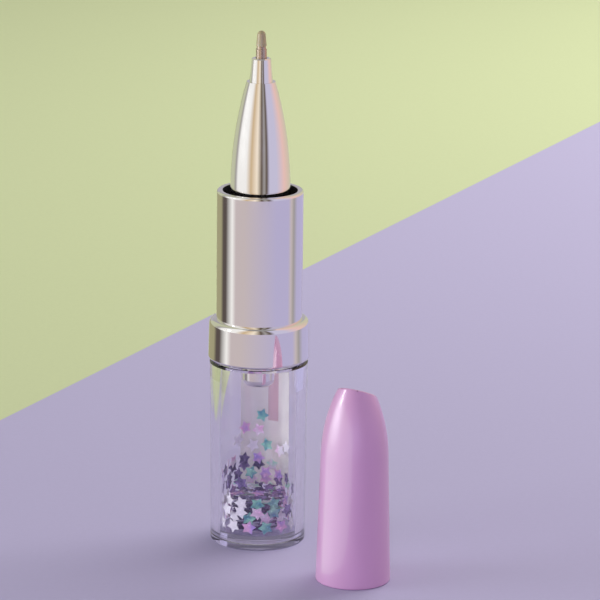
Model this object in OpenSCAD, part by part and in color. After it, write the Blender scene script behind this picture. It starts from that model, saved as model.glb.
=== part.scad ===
// Gel pen shaped like a lipstick: a clear jar of star confetti as the foot, a bright collar and
// sleeve, a screw-in nose that holds the refill, and a bullet cap standing beside the pen.
// Millimetres, +Z up. The origin is the centre of the foot, and the cap stands at the front.

/* [Jar] */
// Height of the clear jar from the foot to the collar
jar_h = 40.1; // [32:0.1:48]
// Outer diameter of the jar under the collar
jar_top_d = 21.1; // [20.2:0.1:23]
// How much narrower the jar is at its foot
jar_draft = 0.7; // [0:0.05:1.2]
// Wall of the jar round the confetti chamber, at the foot
jar_wall = 2; // [1.5:0.1:3]
// Thickness of the foot plug's flange
foot_t = 1.6; // [1:0.1:2.5]
// Reach of the foot plug's spigot into the chamber
foot_spigot = 1.4; // [0.8:0.1:2.5]
// Rounding of the foot's lower edge
foot_round = 0.5; // [0.2:0.05:0.8]
// Bevel on both sides of the parting line
seam_bevel = 0.12; // [0.05:0.01:0.3]
// Rounding of the jar's shoulder under the collar
shoulder_round = 0.4; // [0.2:0.05:0.5]
// Height of the jar's neck inside the collar
neck_h = 3.2; // [2:0.1:4]

/* [Back film] */
// Thickness of the film on the back of the jar
film_t = 0.1; // [0.05:0.01:0.2]
// Height of the film
film_h = 27; // [15:0.5:29]
// Height of the film's lower edge above the foot
film_z = 9.5; // [4:0.5:10]
// Angle that the film covers
film_arc = 80; // [40:1:120]
// Turn of the film from the back towards +X
film_turn = 13; // [-30:1:30]
// Corner radius of the film
film_corner = 1.2; // [0.5:0.1:2]

/* [Confetti] */
// Size of a star across its points
star_d = 3.2; // [2:0.1:3.4]
// Thickness of a star
star_t = 0.1; // [0.05:0.01:0.2]
// Inner radius of a star over its outer radius
star_waist = 0.56; // [0.4:0.01:0.8]
// Height of the heap above the chamber floor
heap_h = 8.4; // [5:0.1:10]
// Height of the stars that cling to the wall above the heap
cling_h = 7; // [3:0.1:9]
// Greatest tilt of a star in the heap
star_tilt = 14; // [5:1:18]
// Greatest lean of a star at the wall
wall_lean = 6; // [2:1:12]
// Least gap between stars, and between a star and the chamber
star_gap = 0.12; // [0.08:0.01:0.3]

/* [Collar] */
// How far the collar stands out over the jar
collar_over = 0.3; // [0.1:0.01:0.5]
// How much narrower the collar is at its top
collar_draft = 0.3; // [0:0.05:0.5]
// Height of the collar
collar_h = 9.3; // [7:0.1:12]
// Rounding of the collar's shoulder
collar_round = 1.3; // [0.4:0.05:1.35]
// Rounding of the collar's lower edge
collar_edge = 0.5; // [0.2:0.05:0.6]
// Gap between the collar's lower edge and the jar
collar_gap = 0.5; // [0.1:0.05:0.8]
// Wall of the collar round the jar's neck
skirt_t = 1.2; // [0.8:0.1:1.4]
// Thickness of the web across the collar
web_t = 1.2; // [0.8:0.1:1.6]

/* [Sleeve] */
// How far the sleeve stands in from the collar
sleeve_inset = 1.65; // [1.5:0.05:2.1]
// Height of the sleeve above the collar
sleeve_h = 28; // [24:0.1:36]
// Wall of the sleeve
sleeve_t = 0.6; // [0.4:0.05:0.8]
// Step from the sleeve to its tail in the collar
sleeve_step = 0.25; // [0.15:0.01:0.3]
// Rounding of the sleeve's rim
rim_round = 0.5; // [0.3:0.05:0.55]
// Thickness of the rim's edge where it turns in over the insert
rim_edge = 0.2; // [0.1:0.02:0.3]

/* [Insert] */
// Wall of the insert round the cap's seat
seat_t = 0.55; // [0.4:0.05:0.8]
// Depth of the cap's seat below the rim
seat_depth = 4.2; // [3.6:0.1:6]
// Thickness of the insert's head under the nose thread
head_floor = 2; // [1:0.1:3]
// Wall of the insert's column round the refill
column_t = 1.2; // [0.8:0.1:2]
// Thickness of the insert's flange on the web
flange_t = 1.5; // [1:0.1:3]
// Wall of the insert's tail in the thimble
tail_t = 0.9; // [0.4:0.05:1]

/* [End thimble] */
// Drop of the thimble below the collar
thimble_drop = 5.5; // [3:0.1:8]
// Wall of the thimble
thimble_t = 0.4; // [0.2:0.05:0.6]
// Thickness of the thimble's closed end
thimble_floor = 0.6; // [0.4:0.05:1]
// Rounding of the thimble's lower edge
thimble_round = 0.8; // [0.2:0.05:0.8]

/* [Nose] */
// Diameter of the nose at the sleeve's rim
nose_d = 12.8; // [12:0.1:13.2]
// Height of the nose from the rim to its ledge
nose_h = 23.3; // [20:0.1:27]
// Diameter of the nose at the ledge
ledge_d = 6.1; // [5.6:0.1:7]
// Height of the nozzle above the ledge
nozzle_h = 5; // [4.2:0.1:6]
// Diameter of the nozzle at the ledge
nozzle_base_d = 4.9; // [4.6:0.1:5.4]
// Diameter of the nozzle's end
nozzle_end_d = 4; // [3.6:0.1:4.4]
// Length of the nozzle's narrow bore
nozzle_bore_h = 3.4; // [2.5:0.1:3.8]
// Edge rounding of the nozzle's end
nozzle_round = 0.2; // [0.1:0.02:0.3]
// Diameter of the nose's threaded shank
shank_d = 10; // [8:0.1:11]
// Length of the shank
shank_h = 8; // [5:0.1:12]

/* [Refill] */
// Outer diameter of the refill tube
refill_d = 3.8; // [3.4:0.05:4]
// Wall of the refill tube
refill_t = 0.6; // [0.4:0.05:0.8]
// Room between the refill's tail and the thimble
tail_room = 0.3; // [0.1:0.05:1]
// Length of ink left in the tube
ink_h = 30; // [5:0.5:34]
// Length of the follower behind the ink
follower_h = 5; // [2:0.5:8]
// Reach of the tip holder's plug into the tube
plug_h = 6; // [3:0.1:8]
// Length of the tip holder's body
holder_h = 6; // [4:0.1:8]
// Length of the tip holder's front
holder_front_h = 7.6; // [6.4:0.1:9]
// Diameter of the tip holder's front
holder_front_d = 3.2; // [3:0.05:3.3]
// Diameter of the ink channel in the tip holder
channel_d = 1; // [0.7:0.05:1.4]

/* [Writing tip] */
// Diameter of the tip's shank
tip_d = 2.3; // [2.1:0.05:2.4]
// Length of the tip's shank beyond the nozzle
tip_out = 2; // [1.5:0.1:4]
// Length of the tip held in the tip holder
tip_in = 4.6; // [3:0.1:6]
// Length of the tip's cone
tip_cone_h = 2.2; // [1.8:0.1:2.5]
// Diameter of the lip round the ball
tip_lip_d = 0.9; // [0.86:0.01:1]
// Diameter of the ink channel in the tip
tip_channel_d = 0.44; // [0.3:0.02:0.5]
// Diameter of the writing ball
ball_d = 0.7; // [0.6:0.02:0.72]
// Height of the lip above the ball's centre
lip_rise = 0.12; // [0.06:0.01:0.16]

/* [Bead] */
// Diameter of the bead's lower edge
bead_foot_d = 2.24; // [2.2:0.01:2.4]
// Diameter of the bead under its round top
bead_d = 1.76; // [1.6:0.02:2]
// Height of the bead's lower edge above the foot of the tip's cone
bead_z = 0.5; // [0.4:0.05:0.8]
// Height of the bead
bead_h = 3.3; // [3:0.1:4]

/* [Cap] */
// Place of the cap's axis, to the right of the pen
cap_x = 20.4; // [20:0.1:40]
// Place of the cap's axis, in front of the pen
cap_y = -26.9; // [-50:0.1:-20]
// Depth of the seated cap below the sleeve's rim
cap_insert = 3.2; // [2:0.1:3.5]
// Height of the cap's nearly straight part
cap_straight = 26.5; // [20:0.1:28]
// Radius that the straight part loses on the way up
cap_taper = 0.75; // [0.3:0.05:0.9]
// Radius of the arc of the cap's bullet
cap_arc = 34; // [30:0.5:50]
// Slant of the cut end
cap_slant = 25; // [15:1:35]
// Direction in which the cut end falls, from +X towards +Y
cap_heading = 63; // [0:1:90]
// Length of the cap's bore over the nose
cap_bore_h = 6; // [4:0.1:8]
// Wall of the cap above its bore
cap_wall = 1.1; // [0.8:0.05:1.2]
// Wall of the cap under the cut end
cap_top_t = 1.2; // [0.8:0.05:1.6]
// Edge rounding of the cap's mouth
cap_edge = 0.3; // [0.1:0.05:0.4]
// Diameter of the seal in the cap
seal_d = 6; // [5.4:0.1:7]
// Thickness of the seal above the tip
seal_t = 1.9; // [1:0.1:2.6]
// Overlap of the seal on the nozzle
seal_grip = 1.5; // [0.8:0.1:2.5]

/* [Clearances] */
// Gap round a piece that is seated for good
seat_gap = 0.05; // [0.03:0.01:0.08]
// Gap round the turning shank of the nose
turn_gap = 0.08; // [0.05:0.01:0.1]
// Gap round the refill in its channel
refill_gap = 0.15; // [0.1:0.01:0.25]
// Gap round the writing ball and under the bead
ball_gap = 0.03; // [0.02:0.005:0.04]
// Gap between the cap's mouth and its seat
cap_gap = 0.15; // [0.1:0.01:0.3]
// Gap between the cap's bore and the nose
nose_gap = 0.2; // [0.15:0.01:0.3]
// Room between the seated cap's seal and the bead
tip_room = 0.3; // [0.2:0.05:0.6]

/* [Hidden] */
$fn = 96;
cut = 0.01;
big = 100;
arc_steps = 8;
ogive_steps = 16;

// Jar, collar and sleeve
jar_r = jar_top_d / 2;
foot_r = jar_r - jar_draft / 2;
chamber_r = foot_r - jar_wall;
chamber_floor = foot_t + foot_spigot;
collar_r = jar_r + collar_over;
collar_top_r = collar_r - collar_draft / 2;
neck_bore_r = collar_r - skirt_t;
neck_r = neck_bore_r - seat_gap;
collar_z = jar_h + collar_gap;
web_z = jar_h + neck_h;
web_top = web_z + web_t;
collar_top = jar_h + collar_h;
sleeve_r = collar_r - sleeve_inset;
sleeve_tail_r = sleeve_r - sleeve_step;
sleeve_bore_r = sleeve_r - sleeve_t;
rim_z = collar_top + sleeve_h;

// Insert and thimble
insert_r = sleeve_bore_r - seat_gap;
seat_r = insert_r - seat_t;
seat_z = rim_z - seat_depth;
shank_r = shank_d / 2;
socket_r = shank_r + turn_gap;
socket_z = seat_z - shank_h;
head_z = socket_z - head_floor;
refill_r = refill_d / 2;
passage_r = refill_r + refill_gap;
tail_r = passage_r + tail_t;
column_r = passage_r + column_t;
tail_bore_r = tail_r + seat_gap;
thimble_r = tail_bore_r + thimble_t;
thimble_z = jar_h - thimble_drop;
tail_z = thimble_z + thimble_floor;

// Nose
nose_r = nose_d / 2;
ledge_r = ledge_d / 2;
ledge_z = rim_z + nose_h;
nozzle_z = ledge_z + nozzle_h;
nose_drop = nose_r - ledge_r;
nose_arc = (nose_h * nose_h + nose_drop * nose_drop) / (2 * nose_drop);
shank_z = socket_z + turn_gap;
shoulder_z = seat_z + seat_gap;

// Refill and writing tip
refill_bore_r = refill_r - refill_t;
refill_fill_r = refill_bore_r - ball_gap;
holder_front_z = nozzle_z - nozzle_bore_h - refill_gap;
holder_step_z = holder_front_z - holder_front_h;
holder_z = holder_step_z - holder_h;
plug_z = holder_z - plug_h;
ink_z = plug_z - ink_h;
refill_z = tail_z + tail_room;
holder_front_r = holder_front_d / 2;
channel_r = channel_d / 2;
tip_r = tip_d / 2;
tip_channel_r = tip_channel_d / 2;
tip_lip_r = tip_lip_d / 2;
tip_z = holder_front_z - tip_in;
cone_z = nozzle_z + tip_out;
lip_z = cone_z + tip_cone_h;
ball_r = ball_d / 2;
ball_z = lip_z - lip_rise;
bead_r = bead_d / 2;
bead_foot = cone_z + bead_z;
bead_top = bead_foot + bead_h;
bead_lean = atan((bead_foot_d / 2 - bead_r) / (bead_h - bead_r));

// Cap, measured from its own mouth
cap_r = seat_r - cap_gap;
cap_shoulder_r = cap_r - cap_taper;
cap_bore_r = nose_r + nose_gap;
tip_reach = cap_insert + bead_top - rim_z;
cap_h = tip_reach + tip_room + seal_t + cap_top_t / cos(cap_slant);
seal_z = cap_insert + nose_h + nozzle_h - seal_grip;
seal_bore_r = nozzle_r(nozzle_z - seal_grip) + seat_gap;

// Confetti: two shells of rings of stars at the wall, and flat layers inside the lower rings
star_r = star_d / 2;
star_pitch = star_d + star_gap;
wall_swing = star_r * (sin(wall_lean) + sin(wall_lean / 2)) + star_t;
outer_r = shell_r(chamber_r);
inner_r = shell_r(outer_r - wall_swing);
low_rings = floor(heap_h / star_pitch);
high_rings = floor(cling_h / star_pitch);
wall_rings = low_rings + high_rings;
core_r = inner_r - wall_swing - star_gap - star_r;
core_pitch = star_d * sin(star_tilt) + star_t + star_gap;
core_layers = floor(heap_h / core_pitch);
// Direction of the clump in the lowest high ring, from +X towards +Y, and its turn from ring to ring
clump_angle = 100;
clump_turn = 40;
// Angle that the clump covers in the lowest high ring, and what each ring above it loses
clump_arc = 210;
clump_loss = 100;
// Stars that cling above the rings: angle from +X, and height over the rings in rings
strays = [
    [84, 1.8], [90, 0.8], [113.5, 1], [99.5, -0.25], [75, -0.2], [50, -0.45], [33, -0.1], [128, 0.2]
];
// Shares of the stars in each colour, added up: violet, lilac, pearl, mint, teal and pink
left_share = [0.02, 0.07, 0.9, 0.96, 0.97, 1];
front_share = [0.05, 0.18, 0.5, 0.53, 0.78, 1];
right_share = [0.14, 0.44, 0.78, 0.8, 0.84, 1];
core_share = [0.8, 0.87, 0.88, 0.95, 0.97, 1];
high_share = [0.5, 0.68, 0.74, 0.86, 0.94, 1];
stray_share = [0.04, 0.24, 0.78, 0.84, 0.9, 1];

// Points of an arc about a centre, from one angle to another
function arc(centre, radius, from, to, steps) = [
    for (i = [0:steps])
        let (a = from + (to - from) * i / steps)
        [centre[0] + radius * cos(a), centre[1] + radius * sin(a)]
];

// Outer radius of the jar at a height
function jar_out(z) = foot_r + (jar_r - foot_r) * z / jar_h;

// Radius of the nozzle at a height
function nozzle_r(z) =
    (nozzle_base_d + (nozzle_end_d - nozzle_base_d) * (z - ledge_z) / nozzle_h) / 2;

// Radius of the tip's cone at a height
function cone_r(z) = tip_r + (tip_lip_r - tip_r) * (z - cone_z) / tip_cone_h;

// Points of the cap's bullet, drawn in by a distance
function bullet(inset) = arc(
    [cap_shoulder_r - cap_arc, cap_straight], cap_arc - inset,
    0, acos((cap_arc - cap_shoulder_r) / (cap_arc - inset)), ogive_steps
);

// A solid of revolution about the pen's axis
module turned(outline) {
    rotate_extrude()
        polygon(outline);
}

module jar() {
    color("aliceblue", 0.35)
        turned([
            [chamber_r, foot_t],
            [jar_out(foot_t) - seam_bevel, foot_t],
            [jar_out(foot_t + seam_bevel), foot_t + seam_bevel],
            [jar_out(jar_h - shoulder_round), jar_h - shoulder_round],
            [jar_r - shoulder_round, jar_h],
            [neck_r, jar_h],
            [neck_r, web_z],
            [chamber_r, web_z]
        ]);
}

module foot_plug() {
    spigot_r = chamber_r - seat_gap;
    color("aliceblue", 0.35)
        turned(concat(
            [[0, 0]],
            arc([foot_r - foot_round, foot_round], foot_round, -90, 0, arc_steps),
            [
                [jar_out(foot_t - seam_bevel), foot_t - seam_bevel],
                [jar_out(foot_t) - seam_bevel, foot_t],
                [spigot_r, foot_t],
                [spigot_r, chamber_floor],
                [0, chamber_floor]
            ]
        ));
}

// Rectangle with round corners, centred on X and standing on Y = 0
module rounded_panel(w, h, r) {
    translate([-w / 2 + r, 0])
        square([w - 2 * r, h]);
    translate([-w / 2, r])
        square([w, h - 2 * r]);
    for (x = [-w / 2 + r, w / 2 - r], y = [r, h - r])
        translate([x, y])
            circle(r);
}

module back_film() {
    top = film_z + film_h;
    low_r = jar_out(film_z) + seat_gap;
    top_r = jar_out(top) + seat_gap;
    width = 2 * jar_r * sin(film_arc / 2);
    color("whitesmoke")
        rotate([0, 0, -film_turn])
            intersection() {
                turned([
                    [low_r, film_z],
                    [low_r + film_t, film_z],
                    [top_r + film_t, top],
                    [top_r, top]
                ]);
                translate([0, big, film_z])
                    rotate([90, 0, 0])
                        linear_extrude(big)
                            rounded_panel(width, film_h, film_corner);
            }
}

// Radius of a shell of stars inside a limit
function shell_r(limit) = sqrt(pow(limit - star_gap, 2) - star_r * star_r) - wall_swing;

// Number of stars that fit on a circle
function ring_count(radius) = floor(180 / asin(star_pitch / (2 * radius)));

// Shares of the colours in the low rings, by the angle from +X
function low_share(angle) = angle < 250 && angle > 90 ? left_share : angle < 295 && angle > 90
    ? front_share : right_share;

// Share of a high ring's places that hold a star: all in the clump, none opposite it
function high_fill(angle, shell, ring) =
    let (
        away = cos(angle - clump_angle - clump_turn * ring),
        reach = max(0, clump_arc - clump_loss * ring) / 2
    )
    away > cos(reach) ? 1 : (1 + away) / 2 * (1 - shell);

// Every star as [distance from the axis, angle, height, lean from flat, tilt, turn, colour shares]
function wall_stars() = [
    for (shell = [0:1], k = [0:wall_rings - 1])
        let (radius = shell == 0 ? outer_r : inner_r, count = ring_count(radius))
        for (j = [0:count - 1])
            let (
                draw = rands(-1, 1, 4, 100 + 500 * shell + k * count + j),
                angle = (j + ((k + shell) % 2) / 2) * 360 / count,
                fill = k < low_rings ? 1 : high_fill(angle, shell, k - low_rings)
            )
            if (draw[0] < 2 * fill - 1)
                [
                    radius, angle, chamber_floor + star_gap + star_r + (k + shell / 2) * star_pitch,
                    90 + wall_lean * draw[1], wall_lean / 2 * draw[2], 36 * draw[3],
                    k < low_rings ? low_share(angle) : high_share
                ]
];

function core_stars() = [
    for (k = [0:core_layers - 1])
        let (
            z = chamber_floor + star_gap + core_pitch * (k + 0.5),
            layer = rands(0, 360, 1, 700 + k)[0],
            count = ring_count(core_r)
        )
        for (j = [0:count])
            let (draw = rands(-1, 1, 2, 2000 + k * (count + 1) + j))
            [
                j < count ? core_r : core_r - star_pitch, layer + j * 360 / count, z,
                star_tilt * draw[0], 0, 36 * draw[1], core_share
            ]
];

function stray_stars() = [
    for (i = [0:len(strays) - 1])
        [
            outer_r + wall_swing - 2 * star_t, strays[i][0],
            chamber_floor + star_gap + star_r + star_pitch * (wall_rings + 0.5 + strays[i][1]),
            90, 0, rands(-36, 36, 1, 3000 + i)[0], stray_share
        ]
];

stars = concat(wall_stars(), core_stars(), stray_stars());
colour_draw = rands(0, 1, len(stars), 585);

// The stars of one colour
module confetti(colour) {
    for (i = [0:len(stars) - 1]) {
        share = stars[i][6];
        low = colour == 0 ? 0 : share[colour - 1];
        if (colour_draw[i] >= low && colour_draw[i] < share[colour])
            rotate([0, 0, stars[i][1]])
                translate([stars[i][0], 0, stars[i][2]])
                    rotate([0, stars[i][3], 0])
                        rotate([stars[i][4], 0, stars[i][5]])
                            star();
    }
}

module star() {
    linear_extrude(star_t, center = true)
        polygon([
            for (i = [0:9])
                let (r = i % 2 == 0 ? star_r : star_r * star_waist)
                [r * cos(36 * i), r * sin(36 * i)]
        ]);
}

module confetti_violet() {
    color("rebeccapurple")
        confetti(0);
}

module confetti_lilac() {
    color("plum")
        confetti(1);
}

module confetti_pearl() {
    color("ivory")
        confetti(2);
}

module confetti_mint() {
    color("aquamarine")
        confetti(3);
}

module confetti_teal() {
    color("cadetblue")
        confetti(4);
}

module confetti_pink() {
    color("pink")
        confetti(5);
}

module collar() {
    sleeve_seat_r = sleeve_tail_r + seat_gap;
    color("silver")
        turned(concat(
            [[neck_bore_r, collar_z]],
            arc([collar_r - collar_edge, collar_z + collar_edge], collar_edge, -90, 0, arc_steps),
            arc([collar_top_r - collar_round, collar_top - collar_round], collar_round, 0, 90, arc_steps),
            [
                [sleeve_seat_r, collar_top],
                [sleeve_seat_r, web_top],
                [tail_bore_r, web_top],
                [tail_bore_r, web_z],
                [neck_bore_r, web_z]
            ]
        ));
}

module sleeve() {
    color("silver")
        turned(concat(
            [
                [sleeve_bore_r, web_top],
                [sleeve_tail_r, web_top],
                [sleeve_tail_r, collar_top],
                [sleeve_r, collar_top]
            ],
            arc([sleeve_r - rim_round, rim_z - rim_round], rim_round, 0, 90, arc_steps),
            [
                [seat_r + rim_edge, rim_z],
                [seat_r, rim_z - rim_edge / 2],
                [seat_r, rim_z - rim_edge],
                [sleeve_bore_r, rim_z - rim_edge - (sleeve_bore_r - seat_r)]
            ]
        ));
}

module insert() {
    lip_top = rim_z - rim_edge - seat_gap;
    color("#141416")
        turned([
            [passage_r, tail_z],
            [tail_r, tail_z],
            [tail_r, web_top],
            [insert_r, web_top],
            [insert_r, web_top + flange_t],
            [column_r, web_top + flange_t],
            [column_r, head_z],
            [insert_r, head_z],
            [insert_r, lip_top - (sleeve_bore_r - seat_r)],
            [seat_r, lip_top],
            [seat_r, seat_z],
            [socket_r, seat_z],
            [socket_r, socket_z],
            [passage_r, socket_z]
        ]);
}

module end_thimble() {
    color("silver")
        turned(concat(
            [[0, thimble_z]],
            arc([thimble_r - thimble_round, thimble_z + thimble_round], thimble_round, -90, 0, arc_steps),
            [
                [thimble_r, web_z],
                [tail_bore_r, web_z],
                [tail_bore_r, tail_z],
                [0, tail_z]
            ]
        ));
}

module nose_cone() {
    tip_bore_r = tip_r + turn_gap;
    holder_bore_r = holder_front_r + refill_gap;
    step_z = holder_step_z + seat_gap;
    color("silver")
        turned(concat(
            [
                [passage_r, shank_z],
                [shank_r, shank_z],
                [shank_r, shoulder_z],
                [nose_r, shoulder_z]
            ],
            arc([nose_r - nose_arc, rim_z], nose_arc, 0, asin(nose_h / nose_arc), ogive_steps),
            [
                [nozzle_base_d / 2, ledge_z],
                [nozzle_r(nozzle_z - nozzle_round), nozzle_z - nozzle_round],
                [nozzle_end_d / 2 - nozzle_round, nozzle_z],
                [tip_bore_r, nozzle_z],
                [tip_bore_r, nozzle_z - nozzle_bore_h],
                [holder_bore_r, nozzle_z - nozzle_bore_h],
                [holder_bore_r, step_z],
                [passage_r, step_z]
            ]
        ));
}

module refill_tube() {
    color("ghostwhite", 0.6)
        turned([
            [refill_bore_r, refill_z],
            [refill_r, refill_z],
            [refill_r, holder_z],
            [refill_bore_r, holder_z]
        ]);
}

module ink() {
    color("#101014")
        turned([
            [0, ink_z],
            [refill_fill_r, ink_z],
            [refill_fill_r, plug_z],
            [channel_r - ball_gap, plug_z],
            [channel_r - ball_gap, tip_z],
            [tip_channel_r - ball_gap, tip_z],
            [tip_channel_r - ball_gap, ball_z - ball_r - ball_gap],
            [0, ball_z - ball_r - ball_gap]
        ]);
}

module follower() {
    color("lightyellow", 0.6)
        translate([0, 0, ink_z - follower_h])
            cylinder(r = refill_fill_r, h = follower_h);
}

module tip_holder() {
    tip_socket_r = tip_r + seat_gap;
    color("whitesmoke")
        turned([
            [channel_r, plug_z],
            [refill_bore_r - seat_gap, plug_z],
            [refill_bore_r - seat_gap, holder_z],
            [refill_r, holder_z],
            [refill_r, holder_step_z],
            [holder_front_r, holder_step_z],
            [holder_front_r, holder_front_z],
            [tip_socket_r, holder_front_z],
            [tip_socket_r, tip_z],
            [channel_r, tip_z]
        ]);
}

module writing_tip() {
    color("lightgray")
        difference() {
            turned([
                [0, tip_z],
                [tip_r, tip_z],
                [tip_r, cone_z],
                [tip_lip_r, lip_z],
                [0, lip_z]
            ]);
            translate([0, 0, tip_z - cut])
                cylinder(r = tip_channel_r, h = ball_z - tip_z);
            translate([0, 0, ball_z])
                sphere(ball_r + ball_gap);
        }
}

module ball() {
    color("dimgray")
        translate([0, 0, ball_z])
            sphere(ball_r);
}

module tip_bead() {
    cavity_top = lip_z + ball_gap;
    color("rosybrown")
        difference() {
            turned(concat(
                [[0, bead_foot], [bead_foot_d / 2, bead_foot]],
                arc([0, bead_top - bead_r], bead_r, bead_lean, 90, arc_steps)
            ));
            turned([
                [0, bead_foot - cut],
                [cone_r(bead_foot - cut) + ball_gap, bead_foot - cut],
                [cone_r(cavity_top) + ball_gap, cavity_top],
                [0, cavity_top]
            ]);
            translate([0, 0, ball_z])
                sphere(ball_r + 2 * ball_gap);
        }
}

// What lies under the cap's slanted end, lowered by a depth
module under_cut(depth) {
    difference() {
        children();
        translate([0, 0, cap_h])
            rotate([0, cap_slant, cap_heading])
                translate([-big / 2, -big / 2, -depth])
                    cube(big);
    }
}

// Hollow of the cap above its bore, drawn in by a gap
module cap_hollow(gap) {
    under_cut(cap_top_t + gap)
        turned(concat(
            [
                [0, cap_bore_h],
                [cap_r - cap_taper * cap_bore_h / cap_straight - cap_wall - gap, cap_bore_h]
            ],
            bullet(cap_wall + gap)
        ));
}

module cap_shell() {
    color("thistle")
        translate([cap_x, cap_y, 0])
            difference() {
                under_cut(0)
                    turned(concat(
                        [[0, 0]],
                        arc([cap_r - cap_edge, cap_edge], cap_edge, -90, 0, arc_steps),
                        bullet(0)
                    ));
                translate([0, 0, -cut])
                    cylinder(r = cap_bore_r, h = cap_bore_h + 2 * cut);
                cap_hollow(0);
            }
}

module cap_seal() {
    color("white")
        translate([cap_x, cap_y, 0])
            difference() {
                intersection() {
                    cap_hollow(seat_gap);
                    translate([0, 0, seal_z])
                        cylinder(d = seal_d, h = cap_h);
                }
                translate([0, 0, seal_z - cut])
                    cylinder(r = seal_bore_r, h = tip_reach + tip_room - seal_z + cut);
            }
}

jar();
foot_plug();
back_film();
confetti_violet();
confetti_lilac();
confetti_pearl();
confetti_mint();
confetti_teal();
confetti_pink();
collar();
sleeve();
insert();
end_thimble();
nose_cone();
refill_tube();
ink();
follower();
tip_holder();
writing_tip();
ball();
tip_bead();
cap_shell();
cap_seal();
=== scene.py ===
"""Looks of a gel pen shaped like a lipstick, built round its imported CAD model.

The pen stands on a clear jar of star confetti, with a bright collar, sleeve and nose above it, and
its lilac bullet cap stands in front. Metres, +Z up, in the CAD model's own frame.
"""

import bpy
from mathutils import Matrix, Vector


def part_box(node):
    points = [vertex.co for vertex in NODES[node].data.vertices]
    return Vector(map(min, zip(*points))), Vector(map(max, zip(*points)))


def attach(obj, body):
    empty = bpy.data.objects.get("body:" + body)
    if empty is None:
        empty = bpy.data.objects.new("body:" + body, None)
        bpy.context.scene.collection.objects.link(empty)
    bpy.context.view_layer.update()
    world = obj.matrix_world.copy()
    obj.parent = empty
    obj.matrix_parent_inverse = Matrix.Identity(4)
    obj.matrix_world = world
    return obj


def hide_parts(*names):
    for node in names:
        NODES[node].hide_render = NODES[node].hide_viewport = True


bl_info = {
    "name": "Gel pen with a confetti jar",
    "version": (1, 0, 0),
    "blender": (4, 5, 0),
    "location": "View3D > Sidebar > Gel pen",
    "description": "Builds the looks of a gel pen round its packed CAD model",
    "category": "Object",
}

import math

import bmesh
import bpy
from bpy.props import FloatProperty, FloatVectorProperty, PointerProperty
from mathutils import Quaternion, Vector

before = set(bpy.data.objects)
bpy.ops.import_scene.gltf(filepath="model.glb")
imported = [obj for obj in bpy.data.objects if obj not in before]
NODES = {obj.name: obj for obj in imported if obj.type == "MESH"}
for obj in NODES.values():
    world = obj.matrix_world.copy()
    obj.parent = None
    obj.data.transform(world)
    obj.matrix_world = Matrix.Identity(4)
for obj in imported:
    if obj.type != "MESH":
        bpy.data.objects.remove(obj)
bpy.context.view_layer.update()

MM = 0.001
SEGMENTS = 128
MERGE = 1e-7
MICRON = 0.001 * MM
# Steps of the arcs in the outlines
EDGE_STEPS = 8
BEAD_STEPS = 12
SHOULDER_STEPS = 14
NOSE_STEPS = 28
BULLET_STEPS = 40
# Distance of a holding point from the end of a straight stretch, and the largest share of it that this may be
HOLD = 0.05 * MM
HOLD_SHARE = 0.2
# Half width of the thread's ridge at its foot and at its crest, as shares of the pitch, and steps in a turn
THREAD_FOOT = 0.36
THREAD_CREST = 0.12
THREAD_STEPS = 48
# Share of the thread's depth to which the ridge is sunk into the shank
THREAD_SINK = 0.25
# Radius that the nozzle gains below its end's edge, as a share of the edge
NOZZLE_DRAFT = 1 / 6
# Depth below the cap's cut in which level edges are cleared, as a share of the rim's rounding
RIM_CLEAR = 1.5
# Soft edge of a print on the film
PRINT_EDGE = 0.1 * MM
# Noise lies mostly between these two values
SPAN = {"From Min": 0.3, "From Max": 0.7}


def linear(code):
    """An sRGB hex value as linear red, green, blue and alpha."""
    channels = [int(code[i:i + 2], 16) / 255 for i in (1, 3, 5)]
    return tuple(c / 12.92 if c <= 0.04045 else ((c + 0.055) / 1.055) ** 2.4 for c in channels) + (1.0,)


def length(name, description, millimetres):
    """A property that holds a length, given in millimetres."""
    return FloatProperty(
        name=name, description=description, default=millimetres * MM, unit="LENGTH", precision=5
    )


def tint(name, description, code):
    """A property that holds a colour, given as an sRGB hex value."""
    return FloatVectorProperty(
        name=name, description=description, default=linear(code), size=4, subtype="COLOR", min=0, max=1
    )


def across(millimetres):
    """Scale of a pattern whose cells are that many millimetres across."""
    return 1 / (millimetres * MM)


def top_of(node):
    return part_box(node)[1].z


def foot_of(node):
    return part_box(node)[0].z


def radius_of(node):
    low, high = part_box(node)
    return (high.x - low.x) / 2


class JarSizes(bpy.types.PropertyGroup):
    """Sizes of the clear jar and its foot."""

    chamber_r: length("Chamber radius", "Radius of the bore that holds the confetti", 8.2)
    foot_t: length("Foot thickness", "Thickness of the foot's flange below the parting line", 1.6)
    foot_round: length("Foot rounding", "Rounding of the foot's lower edge", 0.5)
    seam: length("Parting line", "Bevel on both sides of the parting line", 0.12)
    shoulder: length("Shoulder", "Bevel of the jar's shoulder under the collar", 0.4)
    neck_r: length("Neck radius", "Radius of the neck inside the collar", 9.6)
    seat: length("Seat gap", "Gap round the foot's spigot in the chamber", 0.05)
    weld: length("Weld", "Depth to which the foot is welded into the jar", 0.02)
    collar_gap: length("Collar gap", "Gap between the jar and the collar's lower edge", 0.5)
    band_x: length("Rose band side", "Where the film's rose band starts, to the right of the axis", 2.4)
    band_w: length("Rose band width", "Width of the rose band", 2.9)
    band_z: length("Rose band foot", "Height of the rose band's lower edge", 24.0)


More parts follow.
